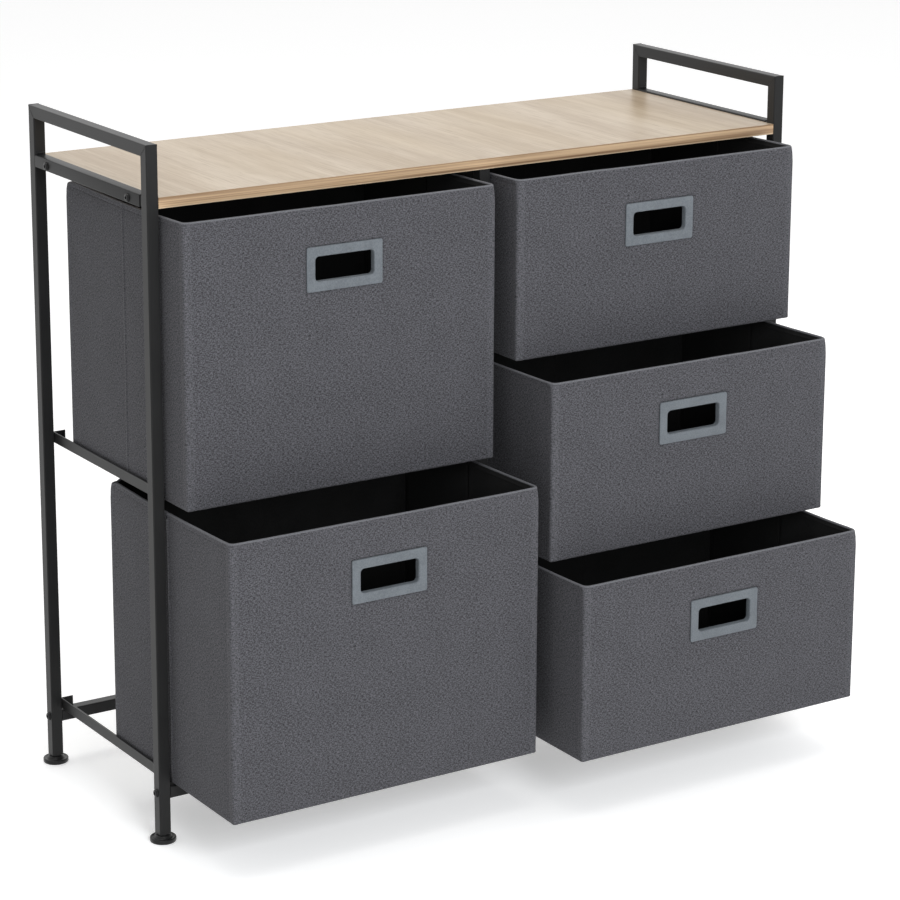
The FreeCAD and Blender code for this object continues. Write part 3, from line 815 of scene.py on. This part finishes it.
def make_handle(name):
    """The moulded face plate with its collar through the front wall."""
    node = name + "_handle_face"
    low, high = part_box(node)
    middle = (low + high) / 2
    back = low.y + PLATE_THICKNESS

    def outer(inset, y):
        return rounded_rectangle(PLATE_WIDTH - inset * 2, PLATE_HEIGHT - inset * 2,
                                 PLATE_CORNER - inset * 0.6, y)

    def hole(inset, y):
        return rounded_rectangle(HOLE_WIDTH + inset * 2, HOLE_HEIGHT + inset * 2,
                                 HOLE_CORNER + inset, y)

    loops = [outer(0.3 * MM, back), outer(0, back - 0.2 * MM)]
    for step in range(EDGE_STEPS + 1):
        angle = math.pi / 2 * step / EDGE_STEPS
        loops.append(outer(PLATE_EDGE * (1 - math.cos(angle)),
                           low.y + PLATE_EDGE * (1 - math.sin(angle))))
    loops += [outer(PLATE_EDGE + 0.6 * MM, low.y), hole(PLATE_LIP + 0.7 * MM, low.y),
              hole(PLATE_LIP + 0.1 * MM, low.y), hole(PLATE_LIP, low.y + 0.05 * MM),
              hole(0.05 * MM, low.y + PLATE_LIP * 0.95), hole(0, low.y + PLATE_LIP + 0.1 * MM),
              hole(0, high.y - 0.3 * MM), hole(0.3 * MM, high.y),
              hole(COLLAR_WALL - 0.3 * MM, high.y), hole(COLLAR_WALL, high.y - 0.3 * MM),
              hole(COLLAR_WALL, back)]
    shift = Vector((middle.x, 0, middle.z))
    loops = [[point + shift for point in loop] for loop in loops]
    piece = new_piece(name + "_handle_plate", *skin(loops, around=True), (HANDLE_GREY,), sharp=35)
    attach(piece, name + "_bin")
    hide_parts(node)


for number, bin_name in enumerate(BIN_NAMES):
    make_bin(bin_name, 3.7 * number + 1)
    make_base_pad(bin_name)
    make_handle(bin_name)


# Board

BOARD_EDGE = 0.3 * MM
BOARD_CORNER = 0.8 * MM
JOINT_DEPTH = 0.12 * MM


def make_board():
    """The oak-faced board with its edge band and the thin joint between them."""
    low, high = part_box("top_panel")
    top = high.z - low.z
    band_rows = [(BOARD_EDGE, 0), (BOARD_EDGE * 0.3, BOARD_EDGE * 0.3), (0, BOARD_EDGE),
                 (0, top - BOARD_EDGE), (BOARD_EDGE * 0.3, top - BOARD_EDGE * 0.3),
                 (BOARD_EDGE, top)]
    face_rows = [(BOARD_EDGE + 0.3 * MM, top), (BOARD_EDGE + 0.45 * MM, top - JOINT_DEPTH),
                 (BOARD_EDGE + 0.6 * MM, top)]
    loops = slab_loops(low, high, band_rows + face_rows, BOARD_CORNER, 3)
    corners, faces = skin(loops)
    band_faces = len(band_rows) * len(loops[0])
    finishes = [1] * band_faces + [0] * (len(faces) - band_faces)
    piece = new_piece("oak_board", corners, faces, (OAK_FACE, OAK_EDGE), finishes, 25)
    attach(piece, "frame")
    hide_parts("top_panel")


make_board()


# Bolts, feet and welds

HEX_SIZE = 3.4 * MM
HEX_EASE = 0.25 * MM
HEX_DEPTH = 2 * MM
HEAD_RADIUS = 5.25 * MM
HEAD_HEIGHT = 3 * MM
HEAD_BRIM = 0.25 * MM
SHANK_RADIUS = 3 * MM
SHANK_LENGTH = 34 * MM
BOLT_STEPS = 24
DOME_STEPS = 6


def hex_loop(size, z):
    """A six-sided loop with as many points as a round one; size is across its flats."""
    points = []
    for step in range(BOLT_STEPS):
        angle = math.tau * step / BOLT_STEPS
        off_flat = (angle + math.pi / 6) % (math.pi / 3) - math.pi / 6
        reach = size / 2 / math.cos(off_flat)
        points.append(Vector((reach * math.cos(angle), reach * math.sin(angle), z)))
    return points


def bolt_loops():
    """A domed head with a hexagon socket, from under the head to the bottom of the socket."""
    loops = [round_loop(HEAD_RADIUS * 0.55, 0, BOLT_STEPS),
             round_loop(HEAD_RADIUS * 0.94, 0, BOLT_STEPS),
             round_loop(HEAD_RADIUS, HEAD_BRIM, BOLT_STEPS)]
    for step in range(1, DOME_STEPS + 1):
        angle = math.pi / 2 * step / DOME_STEPS
        reach = HEAD_RADIUS * (0.42 + 0.58 * math.cos(angle * 0.92))
        rise = HEAD_BRIM + (HEAD_HEIGHT - HEAD_BRIM) * math.sin(angle)
        loops.append(round_loop(reach, rise, BOLT_STEPS))
    loops += [hex_loop(HEX_SIZE + HEX_EASE * 2, HEAD_HEIGHT),
              hex_loop(HEX_SIZE, HEAD_HEIGHT - HEX_EASE),
              hex_loop(HEX_SIZE, HEAD_HEIGHT - HEX_DEPTH),
              round_loop(0.4 * MM, HEAD_HEIGHT - HEX_DEPTH - 0.4 * MM, BOLT_STEPS)]
    return loops


def moved(shape, matrix):
    corners, faces = shape
    return [matrix @ point for point in corners], faces


def make_bolt_heads(node, level):
    """Four button heads on the frame's two sides."""
    low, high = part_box(node)
    head = skin(bolt_loops())
    shank = skin([round_loop(SHANK_RADIUS, z, BOLT_STEPS) for z in (1 * MM, -SHANK_LENGTH)])
    parts = []
    for side, x in ((-1, low.x + HEAD_HEIGHT), (1, high.x - HEAD_HEIGHT)):
        turn = Matrix.Rotation(math.pi / 2 * side, 4, "Y")
        for y in (low.y + HEAD_RADIUS, high.y - HEAD_RADIUS):
            matrix = Matrix.Translation((x, y, level)) @ turn
            parts += [moved(head, matrix), moved(shank, matrix)]
    piece = add_together(node + "_hex", parts, BOLT_BLACK)
    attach(piece, "frame")
    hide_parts(node)


for bolts in ("panel_bolts", "cross_bar_bolts"):
    lowest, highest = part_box(bolts)
    make_bolt_heads(bolts, (lowest.z + highest.z) / 2)


# Radius and height of a foot's rings in millimetres, from under its rim to the top of its stud

FOOT_OUTLINE = ((12.5, 0.8), (13.5, 0.1), (15.2, 0), (15.7, 0.3), (16, 0.9), (16, 4.4),
                (15.8, 5.1), (15.2, 5.5), (14.2, 5.6), (13.2, 5.2), (12.2, 4.8), (11.2, 5.1),
                (10.4, 6.2), (9.8, 7.6), (9.2, 8.3), (8.4, 8.5), (7.0, 8.5), (6.6, 8.7),
                (6.5, 9.7), (4.0, 9.7), (4.0, 22.0), (3.0, 23.8))


def make_foot(node):
    """A levelling foot: a grooved rim, a dished top and a small neck on the stud."""
    low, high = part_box(node)
    middle = (low + high) / 2
    foot_middle = Vector((middle.x, middle.y, low.z))
    loops = [[point + foot_middle for point in round_loop(radius * MM, z * MM)]
             for radius, z in FOOT_OUTLINE]
    piece = new_piece(node + "_moulding", *skin(loops), (FOOT_BLACK,), sharp=50)
    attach(piece, node)
    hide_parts(node)


for foot in ("left_front_foot", "right_front_foot", "left_rear_foot", "right_rear_foot"):
    make_foot(foot)


WELD_RADIUS = 1.3 * MM
REAR_WELD_RADIUS = 1.7 * MM
WELD_RIPPLE = 1.6 * MM
WELD_INSET = 2 * MM
TUBE = 15 * MM
TUBE_CORNER = 1.5 * MM
SEAM_RADIUS = 0.3 * MM


def weld_bead(start, end, normal, radius):
    """A rippled fillet of weld between two points; normal points out of the joint."""
    run = end - start
    ripples = max(3, round(run.length / WELD_RIPPLE))
    across = run.normalized().cross(normal).normalized()
    loops = []
    steps = ripples * 3
    for step in range(steps + 1):
        share = step / steps
        taper = min(1.0, 4 * share + 0.25, 4 * (1 - share) + 0.25)
        swell = radius * taper * (0.88 + 0.14 * math.cos(math.tau * ripples * share))
        loops.append(ring(start + run * share, across, normal, swell, 10))
    return skin(loops)


def make_welds():
    """Beads over and under both ends of the table rails. The rear ones are thicker on top."""
    parts = []
    for side in ("left", "right"):
        low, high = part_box(side + "_table_rail")
        left = low.x + WELD_INSET
        right = high.x - WELD_INSET
        for y, facing, rise, radius in ((low.y, 1, 0.5 * MM, WELD_RADIUS),
                                        (high.y, -1, 2.2 * MM, REAR_WELD_RADIUS)):
            for z, upright, size in ((high.z + rise, 1, radius), (low.z, -1, WELD_RADIUS)):
                normal = Vector((0, facing, upright)).normalized()
                parts.append(weld_bead(Vector((left, y, z)), Vector((right, y, z)), normal, size))
    piece = add_together("table_rail_welds", parts, COAT)
    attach(piece, "frame")


make_welds()


def bead_round(path, normal):
    """A fine bead along a closed path that lies in one plane."""
    loops = []
    for index, point in enumerate(path):
        heading = (path[(index + 1) % len(path)] - path[index - 1]).normalized()
        loops.append(ring(point, heading.cross(normal), normal, SEAM_RADIUS, 8))
    return skin(loops, around=True)


def make_mitres():
    """Ground-down weld lines where the loop's top rails meet the posts at 45 degrees."""
    parts = []
    for side in ("left", "right"):
        low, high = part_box(side + "_loop_rail")
        for y, facing in ((low.y, 1), (high.y, -1)):
            down = Vector((0, facing, -1))
            middle = Vector(((low.x + high.x) / 2, y, high.z)) + down * TUBE / 2
            path = [middle + Vector((point.x, 0, 0)) + down * point.z
                    for point in rounded_rectangle(TUBE, TUBE, TUBE_CORNER, 0, 4)]
            parts.append(bead_round(path, Vector((0, facing, 1)).normalized()))
    piece = add_together("loop_mitre_seams", parts, COAT)
    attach(piece, "frame")


make_mitres()


# Rails and runners

NECK_LENGTH = 4.2 * MM
NECK_INSET = 1.2 * MM
RUNNER_EASE = 0.35 * MM


def make_table_rails():
    """The side rails beside the board, each with a drawn-in neck at its front end. The neck's
    sides take the black foot finish as painted shadow of the gap at the post.
    """
    for side in ("left", "right"):
        node = side + "_table_rail"
        low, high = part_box(node)
        middle = (low + high) / 2
        shoulder = low.y + NECK_LENGTH
        rows = [(low.y, NECK_INSET), (shoulder, NECK_INSET), (shoulder, 0.4 * MM),
                (shoulder + 0.15 * MM, 0.1 * MM), (shoulder + 0.5 * MM, 0), (high.y, 0)]
        loops = []
        for y, inset in rows:
            size = TUBE - inset * 2
            flat = rounded_rectangle(size, size, TUBE_CORNER - inset * 0.5, y)
            loops.append([point + Vector((middle.x, 0, middle.z)) for point in flat])
        corners, faces = skin(loops)
        # Painted shadow: the neck's sides get the darker black finish for the shadow gap between
        # the rail and the front post
        finishes = [1] * len(loops[0]) + [0] * (len(faces) - len(loops[0]))
        piece = new_piece(side + "_table_rail_tube", corners, faces, (COAT, FOOT_BLACK),
                          finishes, 35)
        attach(piece, "frame")
        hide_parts(node)


make_table_rails()


def make_runner(node):
    """A folded sheet-steel runner with its edges eased."""
    shape = bmesh.new()
    shape.from_mesh(NODES[node].data)
    bmesh.ops.remove_doubles(shape, verts=shape.verts, dist=0.01 * MM)
    bmesh.ops.dissolve_limit(shape, angle_limit=math.radians(1), verts=shape.verts,
                             edges=shape.edges)
    sharp = [edge for edge in shape.edges
             if edge.is_manifold and edge.calc_face_angle() > math.radians(30)]
    bmesh.ops.bevel(shape, geom=sharp, offset=RUNNER_EASE, segments=2, profile=0.6,
                    affect="EDGES", clamp_overlap=True)
    mesh = bpy.data.meshes.new(node + "_folded")
    shape.to_mesh(mesh)
    shape.free()
    mesh.materials.clear()
    mesh.materials.append(COAT.material)
    piece = bpy.data.objects.new(node + "_folded", mesh)
    bpy.context.scene.collection.objects.link(piece)
    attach(piece, "frame")
    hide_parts(node)


for runner in [name for name in NODES if name.endswith("_runner")]:
    make_runner(runner)


# Finishes of the pieces that keep their built shape

NODE_FINISHES = (("handle_backing", HANDLE_GREY), ("barrel_nuts", ZINC), ("inserts", FOOT_BLACK),
                 ("screws", BOLT_BLACK), ("plugs", FOOT_BLACK))

for node_name, node in NODES.items():
    chosen = COAT
    for ending, finish in NODE_FINISHES:
        if node_name.endswith(ending):
            chosen = finish
            break
    node.data.materials.clear()
    node.data.materials.append(chosen.material)


# Studio

SKY_LOW = 0.37
SKY_HIGH = 1.06
SKY_BRIGHT_SIDE = (0.45, 0.89, 0)
FLOOR_REACH = 14
FLOOR_GLOW = 0.34
BACKDROP_RADIUS = 13.8
BACKDROP_HEIGHT = 14
BACKDROP_GLOW = 1.02

# Name, place, what it points at, size, watts, tint and whether the gloss mirrors it

LAMPS = (("front_softbox", (-0.6, -4.4, 2.4), (0, 0, 0.45), 2.2, 172, (0.95, 0.97, 1.0), False),
         ("top_softbox", (0.2, 0.3, 4.2), (0, 0, 0.4), 3.2, 60, (1.0, 0.99, 0.96), True))


def make_sky():
    """White light all round, stronger from the rear than from the front."""
    world = bpy.data.worlds.new("studio_world")
    world.use_nodes = True
    nodes = world.node_tree.nodes
    links = world.node_tree.links
    heading = nodes.new("ShaderNodeTexCoord")
    aside = nodes.new("ShaderNodeVectorMath")
    aside.operation = "DOT_PRODUCT"
    aside.inputs[1].default_value = SKY_BRIGHT_SIDE
    level = nodes.new("ShaderNodeMapRange")
    level.interpolation_type = "SMOOTHSTEP"
    for socket, value in (("From Min", -0.45), ("From Max", 1.0), ("To Min", SKY_LOW),
                          ("To Max", SKY_HIGH)):
        level.inputs[socket].default_value = value
    links.new(heading.outputs["Generated"], aside.inputs[0])
    links.new(aside.outputs["Value"], level.inputs["Value"])
    links.new(level.outputs[0], nodes["Background"].inputs["Strength"])
    nodes["Background"].inputs["Color"].default_value = (1, 1, 1, 1)
    bpy.context.scene.world = world


def make_floor():
    """A pale floor that glows a little, so that only a soft shadow lies on it."""
    signs = ((-1, -1), (1, -1), (1, 1), (-1, 1))
    corners = [(x * FLOOR_REACH, y * FLOOR_REACH, 0) for x, y in signs]
    mesh = bpy.data.meshes.new("studio_floor")
    mesh.from_pydata(corners, [], [(0, 1, 2, 3)])
    pale = Finish("pale_floor", Base_Color=grey(0.95), Roughness=0.8, Specular_IOR_Level=0.1,
                  Emission_Color=grey(1), Emission_Strength=FLOOR_GLOW)
    mesh.materials.append(pale.material)
    ground = bpy.data.objects.new("studio_floor", mesh)
    ground.visible_glossy = False
    bpy.context.scene.collection.objects.link(ground)


def make_backdrop():
    """A plain white wall near the floor's edge on all sides, which only closes the view."""
    loops = [round_loop(BACKDROP_RADIUS, height, 96) for height in (-0.01, BACKDROP_HEIGHT)]
    corners, faces = skin(loops, capped=False)
    white = Finish("white_backdrop", Base_Color=grey(0), Specular_IOR_Level=0.0,
                   Emission_Color=grey(1), Emission_Strength=BACKDROP_GLOW)
    wall = new_piece("studio_backdrop", corners, faces, (white,))
    wall.visible_diffuse = False
    wall.visible_glossy = False
    wall.visible_transmission = False
    wall.visible_shadow = False


def make_lamps():
    """Square softboxes. Only the one above is mirrored in the gloss."""
    for name, place, target, size, power, tint, mirrored in LAMPS:
        data = bpy.data.lights.new(name, "AREA")
        data.shape = "SQUARE"
        data.size = size
        data.energy = power
        data.color = tint
        lamp = bpy.data.objects.new(name, data)
        lamp.location = place
        lamp.visible_glossy = mirrored
        lamp.rotation_euler = (Vector(target) - Vector(place)).to_track_quat("-Z", "Y").to_euler()
        bpy.context.scene.collection.objects.link(lamp)


make_sky()
make_floor()
make_backdrop()
make_lamps()
bpy.context.scene.view_settings.view_transform = "Standard"
bpy.context.scene.view_settings.look = "None"
